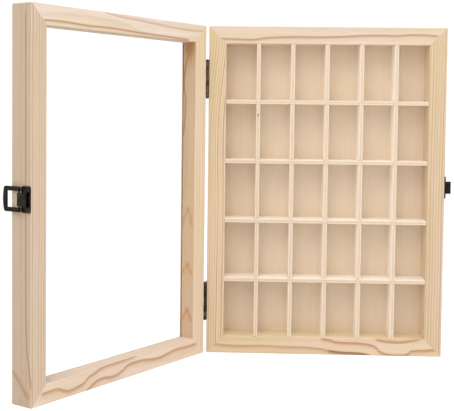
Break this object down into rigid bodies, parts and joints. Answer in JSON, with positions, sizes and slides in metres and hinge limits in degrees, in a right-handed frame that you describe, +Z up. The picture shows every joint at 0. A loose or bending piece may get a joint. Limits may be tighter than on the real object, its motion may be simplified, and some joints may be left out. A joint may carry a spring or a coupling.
{
  "type": "film storage box",
  "caption": "Shallow wooden storage case with a grid of small open compartments and a hinged clear-paned door held by a draw latch.",
  "frame": {"origin": "centre of the case's underside", "axes": "+X along the case's width away from the hinges, +Y from the case's front to its back, +Z up"},
  "size_m": [0.4409, 0.2564, 0.362],
  "materials": {
    "pine_case": "sanded, unfinished",
    "pine_door": "sanded, unfinished",
    "thin_board": "sanded, unfinished",
    "plywood": "sanded, unfinished",
    "clear_acrylic": "clear, polished",
    "dark_bronze": "antique bronze plated steel, satin",
    "bright_steel": "bright"
  },
  "bodies": {
    "case": {"case_left_board": "pine_case", "case_right_board": "pine_case", "case_top_board": "pine_case", "case_bottom_board": "pine_case", "back_panel": "plywood", "back_panel_brads": "bright_steel", "shelf_1": "thin_board", "shelf_2": "thin_board", "shelf_3": "thin_board", "shelf_4": "thin_board", "divider_1": "thin_board", "divider_2": "thin_board", "divider_3": "thin_board", "divider_4": "thin_board", "divider_5": "thin_board", "lower_hinge_case_leaf": "dark_bronze", "upper_hinge_case_leaf": "dark_bronze", "lower_hinge_pin": "dark_bronze", "upper_hinge_pin": "dark_bronze", "hinge_case_screws": "dark_bronze", "keeper_plate": "dark_bronze", "keeper_screws": "dark_bronze"},
    "door": {"door_hinge_stile": "pine_door", "door_latch_stile": "pine_door", "door_top_rail": "pine_door", "door_bottom_rail": "pine_door", "door_pane": "clear_acrylic", "lower_hinge_door_leaf": "dark_bronze", "upper_hinge_door_leaf": "dark_bronze", "hinge_door_screws": "dark_bronze", "latch_base_plate": "dark_bronze", "latch_screws": "dark_bronze", "latch_lever_pin": "dark_bronze"},
    "lever": {"latch_lever": "dark_bronze"},
    "loop_pin": {"latch_bail_pin": "dark_bronze"},
    "loop": {"latch_bail": "dark_bronze"}
  },
  "joints": [
    {"name": "door_hinge", "type": "hinge", "parent": "case", "child": "door", "pos_m": [-0.13175, -0.0178, 0.181], "axis": [0, 0, -1], "range_deg": [-123, 55]},
    {"name": "latch_lever_hinge", "type": "hinge", "parent": "door", "child": "lever", "pos_m": [-0.28008, -0.23739, 0.1877], "axis": [0, 0, 1], "range_deg": [0, 110]},
    {"name": "latch_loop_pin_turn", "type": "hinge", "parent": "lever", "child": "loop_pin", "pos_m": [-0.28657, -0.23288, 0.1877], "axis": [0, 0, 1], "range_deg": [-110, 0]},
    {"name": "latch_loop_hinge", "type": "hinge", "parent": "loop_pin", "child": "loop", "pos_m": [-0.28657, -0.23288, 0.1877], "axis": [0, 0, 1], "range_deg": [0, 180]}
  ],
  "couplings": [
    {"joint": "latch_loop_pin_turn", "follows": "latch_lever_hinge", "ratio": -1}
  ]
}
